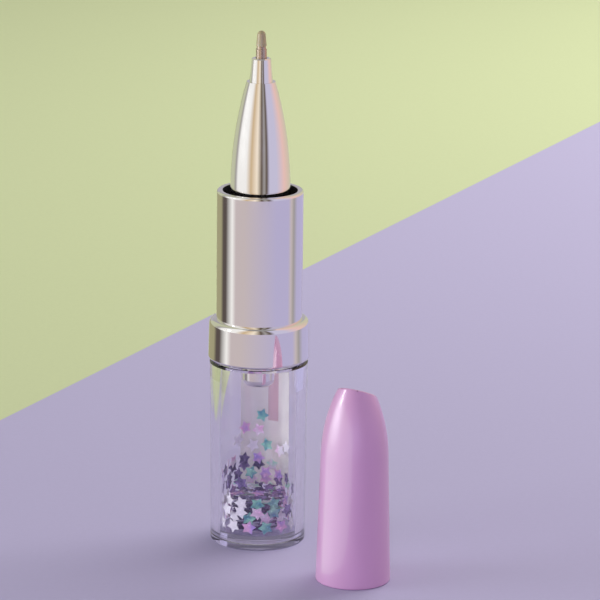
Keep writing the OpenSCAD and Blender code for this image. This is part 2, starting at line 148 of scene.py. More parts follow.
class ShellSizes(bpy.types.PropertyGroup):
    """Sizes of the collar, the sleeve and the end thimble."""

    collar_top_r: length("Collar top radius", "Radius of the collar above its draft", 10.7)
    collar_round: length("Collar shoulder", "Rounding of the collar's shoulder", 1.3)
    collar_edge: length("Collar edge", "Rounding of the collar's lower edge", 0.5)
    neck_bore_r: length("Neck bore", "Radius of the collar's bore round the jar's neck", 9.65)
    web_t: length("Web", "Thickness of the web across the collar", 1.2)
    tail_r: length("Sleeve tail", "Radius of the sleeve's tail inside the collar", 8.95)
    sleeve_bore_r: length("Sleeve bore", "Radius of the sleeve's bore", 8.6)
    rim_round: length("Rim rounding", "Rounding of the sleeve's rim", 0.5)
    rim_edge: length("Rim edge", "Thickness of the rim where it turns in", 0.2)
    seat_r: length("Seat radius", "Radius of the cap's seat inside the rim", 8.0)
    thimble_bore_r: length("Thimble bore", "Radius of the end thimble's bore", 3.0)
    thimble_floor: length("Thimble floor", "Thickness of the thimble's closed end", 0.6)
    thimble_round: length("Thimble rounding", "Rounding of the thimble's lower edge", 1.5)
    seat: length("Seat gap", "Gap round a piece that is seated for good", 0.05)


class NoseSizes(bpy.types.PropertyGroup):
    """Sizes of the nose and of the screw thread on its shank."""

    ledge_r: length("Ledge radius", "Radius of the nose at its ledge", 3.05)
    nozzle_h: length("Nozzle height", "Height of the nozzle above the ledge", 5.0)
    nozzle_base_r: length("Nozzle base", "Radius of the nozzle at the ledge", 2.45)
    nozzle_end_r: length("Nozzle end", "Radius of the nozzle's end", 2.0)
    edge: length("Edges", "Rounding of the nozzle's end and the ledge", 0.2)
    shank_r: length("Shank radius", "Radius of the thread's crest", 5.0)
    shank_h: length("Shank length", "Length of the threaded shank", 7.97)
    pitch: length("Thread pitch", "Rise of the thread in one turn", 1.25)
    thread_depth: length("Thread depth", "Depth of the thread", 0.42)
    passage_r: length("Passage", "Radius of the bore round the refill", 2.05)
    front_bore_r: length("Front bore", "Radius of the bore round the tip holder", 1.75)
    tip_bore_r: length("Tip bore", "Radius of the bore round the writing tip", 1.23)
    tip_bore_h: length("Tip bore length", "Length of the bore round the writing tip", 3.4)
    front_bore_h: length("Front bore length", "Length of the bore round the tip holder", 7.7)


class TipSizes(bpy.types.PropertyGroup):
    """Sizes of the writing tip and the bead over its ball."""

    cone_h: length("Cone", "Height of the tip's cone", 2.2)
    lip_r: length("Lip", "Radius of the lip round the ball", 0.45)
    socket_r: length("Socket", "Radius of the ball's socket", 0.38)
    ball_drop: length("Ball drop", "Depth of the ball's centre below the lip", 0.12)
    channel_r: length("Channel", "Radius of the ink channel", 0.22)
    bead_top_r: length("Bead top", "Radius of the bead's round top", 0.88)
    edge: length("Edge", "Bevel between the tip's shank and its cone", 0.12)
    bead_gap: length("Bead gap", "Gap between the bead and the tip's cone", 0.03)
    hollow_r: length("Hollow radius", "Radius of the bead's hollow over the ball", 0.3)
    hollow_h: length("Hollow height", "Height of the bead's hollow at that radius", 0.16)
    hollow_rise: length("Hollow rise", "Rise of the hollow from there to the axis", 0.09)


class CapSizes(bpy.types.PropertyGroup):
    """Sizes of the bullet cap."""

    axis_h: length("Height at the axis", "Height of the slanted end over the cap's axis", 40.82)
    straight: length("Straight part", "Height of the nearly straight part", 26.5)
    taper: length("Taper", "Radius that the straight part loses on the way up", 0.75)
    arc: length("Bullet arc", "Radius of the bullet's arc", 34)
    bore_r: length("Bore", "Radius of the bore over the nose", 6.6)
    bore_h: length("Bore length", "Length of the bore over the nose", 6)
    wall: length("Wall", "Wall above the bore", 1.1)
    end_t: length("End wall", "Wall under the slanted end", 1.2)
    edge: length("Mouth edge", "Rounding of the mouth's outer edge", 0.3)
    rim: length("Rim", "Rounding of the slanted end's rim", 0.35)
    slant: FloatProperty(
        name="Slant", description="Slant of the cut end", default=math.radians(25), subtype="ANGLE"
    )
    heading: FloatProperty(
        name="Heading", description="Direction in which the cut end falls, from +X towards +Y",
        default=math.radians(63), subtype="ANGLE",
    )


class Finishes(bpy.types.PropertyGroup):
    """Colours of the pen's finishes and of the stage."""

    styrene: tint("Clear jar", "Crystal polystyrene of the jar", "#FAF9FC")
    film: tint("Back film", "Plain film on the back of the jar", "#EAE6D0")
    rose: tint("Rose band", "Plain band on the film", "#CAA29C")
    violet: tint("Violet stars", "Deep side of the violet stars", "#463B62")
    lilac: tint("Lilac stars", "Lilac stars", "#AE93D2")
    pearl: tint("Pearl stars", "Pearl white stars", "#E5E0E1")
    mint: tint("Mint stars", "Mint stars", "#9ADDBB")
    teal: tint("Teal stars", "Teal stars", "#4E929E")
    pink: tint("Pink stars", "Pink stars", "#E6B3D0")
    bright: tint("Bright shell", "Metallised skin of collar, sleeve, thimble and nose", "#EEEBE8")
    black: tint("Insert", "Black insert in the sleeve", "#17161A")
    steel: tint("Writing tip", "Nickel silver of the writing tip", "#B6A493")
    bead: tint("Bead", "Bead over the ball", "#BBAA7E")
    cap: tint("Cap", "Lilac of the cap", "#D5A0C6")
    sheet: tint("Sheet", "Lilac sheet under the pen", "#C2BAD6")
    sky: tint("Sky", "Light from above", "#9C9B9A")
    horizon: tint("Horizon", "Light at the horizon", "#B9B6BE")
    dusk: tint("Dusk", "Horizon as it shows through the clear jar", "#524C6A")
    ground: tint("Ground", "Pale green ground beyond the sheet", "#D4DCAB")


class PenSettings(bpy.types.PropertyGroup):
    """All settings of the gel pen."""

    jar: PointerProperty(type=JarSizes)
    shell: PointerProperty(type=ShellSizes)
    nose: PointerProperty(type=NoseSizes)
    tip: PointerProperty(type=TipSizes)
    cap: PointerProperty(type=CapSizes)
    finish: PointerProperty(type=Finishes)


# Meshes

def draw(bm, start, *strokes):
    """Draws an outline in the XZ plane. A stroke of two numbers goes straight to that point, with a
    holding point near each end so that a rounding next to it doesn't bend its reflections, and one of
    four swings the last point about a centre, by an angle in degrees and in a number of steps."""
    last = bm.verts.new((start[0], 0, start[1]))
    for stroke in strokes:
        if len(stroke) == 2:
            first = last.co.copy()
            way = Vector((stroke[0], 0, stroke[1])) - first
            hold = HOLD / way.length
            for share in (hold, 1 - hold, 1) if hold < HOLD_SHARE else (1,):
                last = bmesh.ops.extrude_vert_indiv(bm, verts=[last])["verts"][0]
                last.co = first + way * share
        else:
            x, z, angle, steps = stroke
            swung = bmesh.ops.spin(
                bm, geom=[last], cent=(x, 0, z), axis=(0, -1, 0), angle=math.radians(angle), steps=steps
            )
            last = next(g for g in swung["geom_last"] if isinstance(g, bmesh.types.BMVert))
    return last


def turned(start, *strokes, closed=True):
    """A bmesh of an outline turned about Z."""
    bm = bmesh.new()
    last = draw(bm, start, *strokes)
    if closed:
        bm.verts.ensure_lookup_table()
        bm.edges.new((last, bm.verts[0]))
    bmesh.ops.spin(
        bm, geom=bm.verts[:] + bm.edges[:], cent=(0, 0, 0), axis=(0, 0, 1),
        angle=math.tau, steps=SEGMENTS, use_merge=True,
    )
    bmesh.ops.remove_doubles(bm, verts=bm.verts, dist=MERGE)
    bmesh.ops.recalc_face_normals(bm, faces=bm.faces)
    return bm


def join(bm, other):
    """Adds another bmesh to one."""
    mesh = bpy.data.meshes.new("joined")
    other.to_mesh(mesh)
    other.free()
    bm.from_mesh(mesh)
    bpy.data.meshes.remove(mesh)


def put(name, bm, material, sharp=35):
    """Makes an object of a bmesh, smooth apart from edges sharper than an angle in degrees."""
    for face in bm.faces:
        face.smooth = True
    mesh = bpy.data.meshes.new(name)
    bm.to_mesh(mesh)
    bm.free()
    mesh.set_sharp_from_angle(angle=math.radians(sharp))
    mesh.materials.append(material)
    obj = bpy.data.objects.new(name, mesh)
    bpy.context.scene.collection.objects.link(obj)
    return obj


def paint(node, material):
    """Gives a CAD node its material."""
    NODES[node].data.materials.clear()
    NODES[node].data.materials.append(material)


# Finishes

def add(tree, kind, inputs=None, **settings):
    """Adds a node with its settings, its values and the nodes or sockets that feed it."""
    made = tree.nodes.new(kind)
    for key, value in settings.items():
        setattr(made, key, value)
    for key, value in (inputs or {}).items():
        if isinstance(value, bpy.types.Node):
            value = next(socket for socket in value.outputs if socket.enabled)
        if isinstance(value, bpy.types.NodeSocket):
            tree.links.new(value, made.inputs[key])
        else:
            made.inputs[key].default_value = value
    return made


def blank(name):
    """A new material, its empty tree and its Object coordinates."""
    material = bpy.data.materials.new(name)
    material.use_nodes = True
    tree = material.node_tree
    tree.nodes.clear()
    return material, tree, add(tree, "ShaderNodeTexCoord").outputs["Object"]


def show(tree, shader):
    """Puts a shader on the surface."""
    add(tree, "ShaderNodeOutputMaterial", {"Surface": shader})


def shade(colour, share):
    """A colour times a share."""
    return tuple(c * share for c in colour[:3]) + (1.0,)


def metallised_abs(finish):
    """Vacuum-metallised ABS: a mirror skin with the faint ripple of the moulding under it. Its wipe
    marks are drawn coarser than the real ones, so that they show."""
    material, tree, place = blank("metallised_abs")
    along = add(tree, "ShaderNodeMapping", {"Vector": place, "Scale": (1, 1, 0.12)})
    wipe = add(tree, "ShaderNodeTexNoise", {"Vector": along, "Scale": across(0.35), "Detail": 3.0})
    ripple = add(tree, "ShaderNodeTexNoise", {"Vector": place, "Scale": across(5.0), "Detail": 1.0})
    haze = add(tree, "ShaderNodeMapRange", {"Value": wipe, "To Min": 0.035, "To Max": 0.075, **SPAN})
    wave = add(tree, "ShaderNodeBump", {"Height": ripple, "Distance": 2.0 * MICRON})
    show(tree, add(tree, "ShaderNodeBsdfPrincipled", {
        "Base Color": finish.bright[:], "Metallic": 1.0, "Roughness": haze, "Normal": wave,
    }))
    return material


def crystal_styrene(finish):
    """Crystal polystyrene, moulded and polished: clear, with faint flow marks at its skin. Lamps shine
    through it, so that its filling isn't left in the dark."""
    material, tree, place = blank("crystal_styrene")
    along = add(tree, "ShaderNodeMapping", {"Vector": place, "Scale": (1, 1, 0.3)})
    flow = add(tree, "ShaderNodeTexNoise", {"Vector": along, "Scale": across(9.0), "Detail": 1.0})
    haze = add(tree, "ShaderNodeMapRange", {"Value": flow, "To Min": 0.0, "To Max": 0.02, **SPAN})
    wave = add(tree, "ShaderNodeBump", {"Height": flow, "Distance": 3.0 * MICRON})
    clear = add(tree, "ShaderNodeBsdfPrincipled", {
        "Base Color": finish.styrene[:], "IOR": 1.59, "Transmission Weight": 1.0, "Roughness": haze,
        "Normal": wave,
    })
    lamp = add(tree, "ShaderNodeLightPath").outputs["Is Shadow Ray"]
    passed = add(tree, "ShaderNodeBsdfTransparent", {"Color": shade(finish.styrene, 0.98)})
    show(tree, add(tree, "ShaderNodeMixShader", {0: lamp, 1: clear, 2: passed}))
    return material


def label_film(pen):
    """Printed polypropylene film: pale, satin and a little see-through, with one plain rose band and
    the cloudy look of its glue from inside."""
    finish = pen.finish
    material, tree, place = blank("polypropylene_film")
    cloud = add(tree, "ShaderNodeTexNoise", {"Vector": place, "Scale": across(2.4), "Detail": 3.0})
    spot = add(tree, "ShaderNodeSeparateXYZ", {"Vector": place})
    left, right, high = (
        add(tree, "ShaderNodeMapRange", {
            "Value": spot.outputs[axis], "From Min": edge, "From Max": edge + inwards * PRINT_EDGE,
        })
        for axis, edge, inwards in (
            ("X", pen.jar.band_x, 1), ("X", pen.jar.band_x + pen.jar.band_w, -1), ("Z", pen.jar.band_z, 1),
        )
    )
    stripe = add(tree, "ShaderNodeMath", {0: left, 1: right}, operation="MULTIPLY")
    band = add(tree, "ShaderNodeMath", {0: stripe, 1: high}, operation="MULTIPLY")
    glue = add(tree, "ShaderNodeMapRange", {"Value": cloud, **SPAN})
    plain = add(tree, "ShaderNodeMix", {
        "Factor": glue, "A": shade(finish.film, 0.9), "B": finish.film[:],
    }, data_type="RGBA")
    printed = add(tree, "ShaderNodeMix", {"Factor": band, "A": plain, "B": finish.rose[:]}, data_type="RGBA")
    wave = add(tree, "ShaderNodeBump", {"Height": cloud, "Distance": 4.0 * MICRON})
    show(tree, add(tree, "ShaderNodeBsdfPrincipled", {
        "Base Color": printed, "Roughness": 0.45, "Alpha": 0.5, "Normal": wave,
    }))
    return material


def star_film(name, first, second, metal):
    """Iridescent polyester film, punched: its colour turns across a star, and its skin is glossy and
    a little creased."""
    material, tree, place = blank(name)
    turn = add(tree, "ShaderNodeTexNoise", {"Vector": place, "Scale": across(1.6), "Detail": 1.0})
    crease = add(tree, "ShaderNodeTexNoise", {"Vector": place, "Scale": across(0.5)})
    change = add(tree, "ShaderNodeMapRange", {"Value": turn, "From Min": 0.35, "From Max": 0.65})
    colour = add(tree, "ShaderNodeMix", {"Factor": change, "A": first, "B": second}, data_type="RGBA")
    haze = add(tree, "ShaderNodeMapRange", {"Value": crease, "To Min": 0.14, "To Max": 0.3, **SPAN})
    wave = add(tree, "ShaderNodeBump", {"Height": crease, "Distance": 6.0 * MICRON})
    show(tree, add(tree, "ShaderNodeBsdfPrincipled", {
        "Base Color": colour, "Metallic": metal, "IOR": 1.64, "Roughness": haze, "Normal": wave,
    }))
    return material


def black_abs(finish):
    """Black ABS, moulded with a fine satin skin."""
    material, tree, place = blank("black_abs")
    grit = add(tree, "ShaderNodeTexNoise", {"Vector": place, "Scale": across(0.2)})
    haze = add(tree, "ShaderNodeMapRange", {"Value": grit, "To Min": 0.4, "To Max": 0.55, **SPAN})
    wave = add(tree, "ShaderNodeBump", {"Height": grit, "Distance": 5.0 * MICRON})
    show(tree, add(tree, "ShaderNodeBsdfPrincipled", {
        "Base Color": finish.black[:], "IOR": 1.54, "Roughness": haze, "Normal": wave,
    }))
    return material


def nickel_silver(finish):
    """Nickel silver, turned on a lathe: a warm grey metal with rings round its axis, drawn coarser than
    the real ones so that they show."""
    material, tree, place = blank("nickel_silver")
    round_it = add(tree, "ShaderNodeMapping", {"Vector": place, "Scale": (0.02, 0.02, 1)})
    rings = add(tree, "ShaderNodeTexNoise", {"Vector": round_it, "Scale": across(0.25)})
    haze = add(tree, "ShaderNodeMapRange", {"Value": rings, "To Min": 0.18, "To Max": 0.32, **SPAN})
    wave = add(tree, "ShaderNodeBump", {"Height": rings, "Distance": 4.0 * MICRON})
    show(tree, add(tree, "ShaderNodeBsdfPrincipled", {
        "Base Color": finish.steel[:], "Metallic": 1.0, "Roughness": haze, "Normal": wave,
    }))
    return material


def hot_melt(finish):
    """Hot-melt resin: a soft taupe bead, a little cloudy and waxy."""
    material, tree, place = blank("hot_melt_resin")
    cloud = add(tree, "ShaderNodeTexNoise", {"Vector": place, "Scale": across(0.8)})
    change = add(tree, "ShaderNodeMapRange", {"Value": cloud, **SPAN})
    colour = add(tree, "ShaderNodeMix", {
        "Factor": change, "A": shade(finish.bead, 0.82), "B": finish.bead[:],
    }, data_type="RGBA")
    haze = add(tree, "ShaderNodeMapRange", {"Value": cloud, "To Min": 0.28, "To Max": 0.4, **SPAN})
    wave = add(tree, "ShaderNodeBump", {"Height": cloud, "Distance": 12.0 * MICRON})
    show(tree, add(tree, "ShaderNodeBsdfPrincipled", {
        "Base Color": colour, "IOR": 1.48, "Roughness": haze, "Subsurface Weight": 0.15,
        "Subsurface Scale": 0.5 * MM, "Normal": wave,
    }))
    return material


def lilac_abs(finish):
    """Gloss ABS in pearl lilac: an even colour with a fine shimmer under a barely rippled gloss."""
    material, tree, place = blank("lilac_abs")
    along = add(tree, "ShaderNodeMapping", {"Vector": place, "Scale": (1, 1, 0.35)})
    flow = add(tree, "ShaderNodeTexNoise", {"Vector": along, "Scale": across(7.0)})
    grain = add(tree, "ShaderNodeTexNoise", {"Vector": place, "Scale": across(0.45)})
    change = add(tree, "ShaderNodeMapRange", {"Value": flow, **SPAN})
    colour = add(tree, "ShaderNodeMix", {
        "Factor": change, "A": shade(finish.cap, 0.95), "B": finish.cap[:],
    }, data_type="RGBA")
    haze = add(tree, "ShaderNodeMapRange", {"Value": grain, "To Min": 0.34, "To Max": 0.4, **SPAN})
    wave = add(tree, "ShaderNodeBump", {"Height": flow, "Distance": 2.0 * MICRON})
    show(tree, add(tree, "ShaderNodeBsdfPrincipled", {
        "Base Color": colour, "IOR": 1.54, "Roughness": haze,
        "Coat Weight": 0.4, "Coat Roughness": 0.06, "Normal": wave,
    }))
    return material


def plain_plastic(name, code, rough, cell, clear=0.0, soft=0.0):
    """A moulded plastic or filling inside the pen, with the mottle of its skin."""
    material, tree, place = blank(name)
    mottle = add(tree, "ShaderNodeTexNoise", {"Vector": place, "Scale": across(cell)})
    change = add(tree, "ShaderNodeMapRange", {"Value": mottle, **SPAN})
    colour = add(tree, "ShaderNodeMix", {
        "Factor": change, "A": shade(linear(code), 0.9), "B": linear(code),
    }, data_type="RGBA")
    haze = add(tree, "ShaderNodeMapRange", {
        "Value": mottle, "To Min": rough, "To Max": rough + 0.12, **SPAN,
    })
    wave = add(tree, "ShaderNodeBump", {"Height": mottle, "Distance": 4.0 * MICRON})
    show(tree, add(tree, "ShaderNodeBsdfPrincipled", {
        "Base Color": colour, "IOR": 1.5, "Roughness": haze, "Transmission Weight": clear,
        "Subsurface Weight": soft, "Subsurface Scale": 0.6 * MM, "Normal": wave,
    }))
    return material


def carbide(code):
    """Tungsten carbide, lapped to a dark mirror with the finest grain."""
    material, tree, place = blank("tungsten_carbide")
    grain = add(tree, "ShaderNodeTexNoise", {"Vector": place, "Scale": across(0.05)})
    haze = add(tree, "ShaderNodeMapRange", {"Value": grain, "To Min": 0.1, "To Max": 0.2, **SPAN})
    show(tree, add(tree, "ShaderNodeBsdfPrincipled", {
        "Base Color": linear(code), "Metallic": 1.0, "Roughness": haze,
    }))
    return material


# Pieces

class GELPEN_OT_clear_jar(bpy.types.Operator):
    """Builds the clear jar and its foot"""

    bl_idname = "gelpen.clear_jar"
    bl_label = "Clear jar"

    def execute(self, context):
        pen = context.scene.gelpen
        size, clear = pen.jar, crystal_styrene(pen.finish)
        foot_r, jar_r, jar_h = radius_of("foot_plug"), radius_of("jar"), foot_of("collar") - size.collar_gap
        floor_z, web_z = top_of("foot_plug"), top_of("jar")

        def wall(z):
            return foot_r + (jar_r - foot_r) * z / jar_h

        jar = put("clear_jar", turned(
            (size.chamber_r, size.foot_t),
            (wall(size.foot_t) - size.seam, size.foot_t),
            (wall(size.foot_t), size.foot_t + size.seam),
            (wall(jar_h - size.shoulder), jar_h - size.shoulder),
            (jar_r - size.shoulder, jar_h),
            (size.neck_r, jar_h),
            (size.neck_r, web_z),
            (size.chamber_r, web_z),
        ), clear)
        foot = put("clear_foot", turned(
            (0, 0),
            (foot_r - size.foot_round, 0),
            (foot_r - size.foot_round, size.foot_round, 90, EDGE_STEPS),
            (wall(size.foot_t), size.foot_t - size.seam),
            (wall(size.foot_t) - size.seam, size.foot_t + size.weld),
            (size.chamber_r - size.seat, size.foot_t + size.weld),
            (size.chamber_r - size.seat, floor_z),
            (0, floor_z),
            closed=False,
        ), clear)
        for obj, node in ((jar, "jar"), (foot, "foot_plug")):
            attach(obj, "pen")
            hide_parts(node)
        return {"FINISHED"}


class GELPEN_OT_jar_filling(bpy.types.Operator):
    """Finishes the back film and the star confetti in the jar"""

    bl_idname = "gelpen.jar_filling"
    bl_label = "Film and confetti"

    def execute(self, context):
        pen = context.scene.gelpen
        finish = pen.finish
        paint("back_film", label_film(pen))
        for name, deep, pale, metal in (
            ("violet", finish.violet, shade(finish.lilac, 0.65), 0.35),
            ("lilac", finish.lilac, finish.pink, 0.3),
            ("pearl", finish.pearl, shade(finish.pearl, 0.88), 0.1),
            ("mint", finish.mint, finish.pearl, 0.25),
            ("teal", finish.teal, finish.mint, 0.35),
            ("pink", finish.pink, finish.pearl, 0.2),
        ):
            paint("confetti_" + name, star_film("star_film_" + name, deep[:], pale[:], metal))
        return {"FINISHED"}


class GELPEN_OT_bright_shells(bpy.types.Operator):
    """Builds the bright collar, the sleeve and the end thimble"""

    bl_idname = "gelpen.bright_shells"
    bl_label = "Bright shells"

    def execute(self, context):
        pen = context.scene.gelpen
        size, bright = pen.shell, metallised_abs(pen.finish)
        low, top = foot_of("collar"), top_of("collar")
        collar_r, sleeve_r = radius_of("collar"), radius_of("sleeve")
        web_top, rim_z = foot_of("sleeve"), top_of("sleeve")
        web_z = web_top - size.web_t
        turn_in = size.sleeve_bore_r - size.seat_r
        thimble_r, thimble_z = radius_of("end_thimble"), foot_of("end_thimble")
        collar = put("bright_collar", turned(
            (size.neck_bore_r, low),
            (collar_r - size.collar_edge, low),
            (collar_r - size.collar_edge, low + size.collar_edge, 90, EDGE_STEPS),
            (size.collar_top_r, top - size.collar_round),
            (size.collar_top_r - size.collar_round, top - size.collar_round, 90, SHOULDER_STEPS),
            (size.tail_r + size.seat, top),
            (size.tail_r + size.seat, web_top),
            (size.thimble_bore_r, web_top),
            (size.thimble_bore_r, web_z),
            (size.neck_bore_r, web_z),
        ), bright)
        sleeve = put("bright_sleeve", turned(
            (size.sleeve_bore_r, web_top),
            (size.tail_r, web_top),
            (size.tail_r, top),
            (sleeve_r, top),
            (sleeve_r, rim_z - size.rim_round),
            (sleeve_r - size.rim_round, rim_z - size.rim_round, 90, EDGE_STEPS),
            (size.seat_r + size.rim_edge, rim_z),
            (size.seat_r, rim_z - size.rim_edge / 2),
            (size.seat_r, rim_z - size.rim_edge),
            (size.sleeve_bore_r, rim_z - size.rim_edge - turn_in),
        ), bright)
        thimble = put("bright_thimble", turned(
            (0, thimble_z),
            (thimble_r - size.thimble_round, thimble_z),
            (thimble_r - size.thimble_round, thimble_z + size.thimble_round, 90, EDGE_STEPS),
            (thimble_r, web_z),
            (size.thimble_bore_r, web_z),
            (size.thimble_bore_r, thimble_z + size.thimble_floor),
            (0, thimble_z + size.thimble_floor),
            closed=False,
        ), bright)
        for obj, node in ((collar, "collar"), (sleeve, "sleeve"), (thimble, "end_thimble")):
            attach(obj, "pen")
            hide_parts(node)
        paint("insert", black_abs(pen.finish))
        return {"FINISHED"}


class GELPEN_OT_bright_nose(bpy.types.Operator):
    """Builds the bright nose with the thread on its shank"""

    bl_idname = "gelpen.bright_nose"
    bl_label = "Bright nose"

    def execute(self, context):
        pen = context.scene.gelpen
        size = pen.nose
        nose_r, end_z, shank_z = radius_of("nose_cone"), top_of("nose_cone"), foot_of("nose_cone")
        rim_z, ledge_z = top_of("sleeve"), end_z - size.nozzle_h
        shoulder_z = shank_z + size.shank_h
        drop, rise = nose_r - size.ledge_r, ledge_z - rim_z
        bend = (rise * rise + drop * drop) / (2 * drop)
        root_r = size.shank_r - size.thread_depth
        front_z = end_z - size.tip_bore_h
        bm = turned(
            (size.passage_r, shank_z),
            (root_r, shank_z),
            (root_r, shoulder_z),
            (nose_r, shoulder_z),
            (nose_r, rim_z),
            (nose_r - bend, rim_z, math.degrees(math.asin(rise / bend)), NOSE_STEPS),
            (size.nozzle_base_r, ledge_z),
            (size.nozzle_end_r + size.edge * NOZZLE_DRAFT, end_z - size.edge),
            (size.nozzle_end_r - size.edge, end_z),
            (size.tip_bore_r, end_z),
            (size.tip_bore_r, front_z),
            (size.front_bore_r, front_z),
            (size.front_bore_r, front_z - size.front_bore_h),
            (size.passage_r, front_z - size.front_bore_h),
        )
        join(bm, self.thread(size, root_r, shank_z, shoulder_z))
        nose = put("bright_nose", bm, bpy.data.materials["metallised_abs"])
        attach(nose, "nose")
        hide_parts("nose_cone")
        return {"FINISHED"}

    @staticmethod
    def thread(size, root_r, shank_z, shoulder_z):
        """The thread's ridge, a trapezium spun up the shank with its ends closed."""
        bm = bmesh.new()
        base, crest = THREAD_FOOT * size.pitch, THREAD_CREST * size.pitch
        start_z = shank_z + base + crest
        inner_r = root_r - size.thread_depth * THREAD_SINK
        last = draw(
            bm, (inner_r, start_z - base), (size.shank_r, start_z - crest),
            (size.shank_r, start_z + crest), (inner_r, start_z + base),
        )
        bm.verts.ensure_lookup_table()
        bm.edges.new((last, bm.verts[0]))
        bmesh.ops.contextual_create(bm, geom=bm.edges[:])
        turns = (shoulder_z - base - crest - start_z) / size.pitch
        steps = int(turns * THREAD_STEPS)
        bmesh.ops.spin(
            bm, geom=bm.faces[:], cent=(0, 0, 0), axis=(0, 0, 1),
            dvec=(0, 0, turns * size.pitch / steps), angle=math.tau * turns, steps=steps,
        )
        bmesh.ops.recalc_face_normals(bm, faces=bm.faces)
        return bm


class GELPEN_OT_refill(bpy.types.Operator):
    """Builds the writing tip and its bead, and finishes the rest of the refill"""

    bl_idname = "gelpen.refill"
    bl_label = "Refill"

    def execute(self, context):
        pen = context.scene.gelpen
        size = pen.tip
        tip_r, tip_z, lip_z = radius_of("writing_tip"), foot_of("writing_tip"), top_of("writing_tip")
        cone_z, ball_z = lip_z - size.cone_h, lip_z - size.ball_drop
        lip_in = math.sqrt(size.socket_r ** 2 - size.ball_drop ** 2)
        seat_z = ball_z - math.sqrt(size.socket_r ** 2 - size.channel_r ** 2)
        swing = -math.degrees(math.asin(size.ball_drop / size.socket_r)
                              + math.acos(size.channel_r / size.socket_r))
        tip = put("steel_tip", turned(
            (size.channel_r, tip_z),
            (tip_r, tip_z),
            (tip_r, cone_z - size.edge),
            (tip_r - size.edge, cone_z),
            (size.lip_r, lip_z - size.edge / 2),
            (size.lip_r - size.edge / 2, lip_z),
            (lip_in, lip_z),
            (0, ball_z, swing, EDGE_STEPS),
            (size.channel_r, seat_z),
        ), nickel_silver(pen.finish))
        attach(tip, "refill")
        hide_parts("writing_tip")

        bead_r, bead_z, bead_top = radius_of("tip_bead"), foot_of("tip_bead"), top_of("tip_bead")

        def cone(z):
            return tip_r + (size.lip_r - tip_r) * (z - cone_z) / size.cone_h + size.bead_gap

        hollow_z = lip_z + size.bead_gap + size.hollow_h
        round_z = bead_top - size.bead_top_r
        lean = math.atan2(bead_r - size.bead_top_r, round_z - bead_z)
        bead = put("resin_bead", turned(
            (cone(bead_z), bead_z),
            (bead_r, bead_z),
            (size.bead_top_r * math.cos(lean), round_z + size.bead_top_r * math.sin(lean)),
            (0, round_z, 90 - math.degrees(lean), BEAD_STEPS),
            (0, hollow_z + size.hollow_rise),
            (size.hollow_r, hollow_z),
            (size.lip_r + size.bead_gap, lip_z + size.bead_gap),
        ), hot_melt(pen.finish))
        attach(bead, "bead")
        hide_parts("tip_bead")

        paint("ball", carbide("#6E6E72"))
        paint("refill_tube", plain_plastic("polypropylene_tube", "#E6E6EA", 0.25, 1.5, clear=0.7))
        paint("ink", plain_plastic("gel_ink", "#121218", 0.12, 1.0))
        paint("follower", plain_plastic("follower_grease", "#E9E2B8", 0.2, 1.0, clear=0.5))
        paint("tip_holder", plain_plastic("white_acetal", "#EDEDEA", 0.35, 0.8, soft=0.2))
        return {"FINISHED"}


class GELPEN_OT_cap(bpy.types.Operator):
    """Builds the lilac bullet cap and finishes its seal"""

    bl_idname = "gelpen.cap"
    bl_label = "Cap"

    def execute(self, context):
        pen = context.scene.gelpen
        size = pen.cap
        low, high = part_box("cap_shell")
        centre = Vector(((low.x + high.x) / 2, (low.y + high.y) / 2, 0))
        cap_r = radius_of("cap_shell")
        shoulder_r = cap_r - size.taper
        hollow_r = cap_r - size.taper * size.bore_h / size.straight - size.wall
        fall = Vector((
            math.sin(size.slant) * math.cos(size.heading),
            math.sin(size.slant) * math.sin(size.heading),
            math.cos(size.slant),
        ))

        def bullet(inset):
            reach = math.acos((size.arc - shoulder_r) / (size.arc - inset))
            return (shoulder_r - size.arc, size.straight, math.degrees(reach), BULLET_STEPS)

        bm = turned(
            (size.bore_r, 0),
            (cap_r - size.edge, 0),
            (cap_r - size.edge, size.edge, 90, EDGE_STEPS),
            (shoulder_r, size.straight),
            bullet(0),
            closed=False,
        )
        rim = self.cut(bm, Vector((0, 0, size.axis_h)), fall, RIM_CLEAR * size.rim)
        bmesh.ops.bevel(
            bm, geom=rim, offset=size.rim, offset_type="OFFSET", segments=5, profile=0.5,
            affect="EDGES", material=-1,
        )
        inside = turned(
            (size.bore_r, 0),
            (size.bore_r, size.bore_h),
            (hollow_r, size.bore_h),
            (shoulder_r - size.wall, size.straight),
            bullet(size.wall),
            closed=False,
        )
        self.cut(inside, Vector((0, 0, size.axis_h)) - fall * size.end_t, fall, size.rim)
        join(bm, inside)
        bmesh.ops.remove_doubles(bm, verts=bm.verts, dist=MERGE)
        bmesh.ops.recalc_face_normals(bm, faces=bm.faces)
        bmesh.ops.translate(bm, verts=bm.verts, vec=centre)
        cap = put("lilac_cap", bm, lilac_abs(pen.finish), sharp=45)
        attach(cap, "cap")
        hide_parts("cap_shell")
        paint("cap_seal", plain_plastic("soft_seal", "#E9E7E4", 0.5, 0.8, soft=0.2))
        return {"FINISHED"}

    @staticmethod
    def cut(bm, point, normal, clear):
        """Cuts off what lies beyond a plane, clears the level edges close to it so that no slivers stay,
        closes the cut and returns its rim."""
        made = bmesh.ops.bisect_plane(
            bm, geom=bm.verts[:] + bm.edges[:] + bm.faces[:], dist=MERGE,
            plane_co=point, plane_no=normal, clear_outer=True,
        )
        rim = [g for g in made["geom_cut"] if isinstance(g, bmesh.types.BMEdge)]
        near = {v for v in bm.verts if MERGE < (point - v.co).dot(normal) < clear}
        level = [
            e for e in bm.edges
            if near.issuperset(e.verts) and abs(e.verts[0].co.z - e.verts[1].co.z) < MERGE
        ]
        bmesh.ops.dissolve_edges(bm, edges=level, use_verts=True)
        bmesh.ops.contextual_create(bm, geom=rim)
        return rim


# Stage

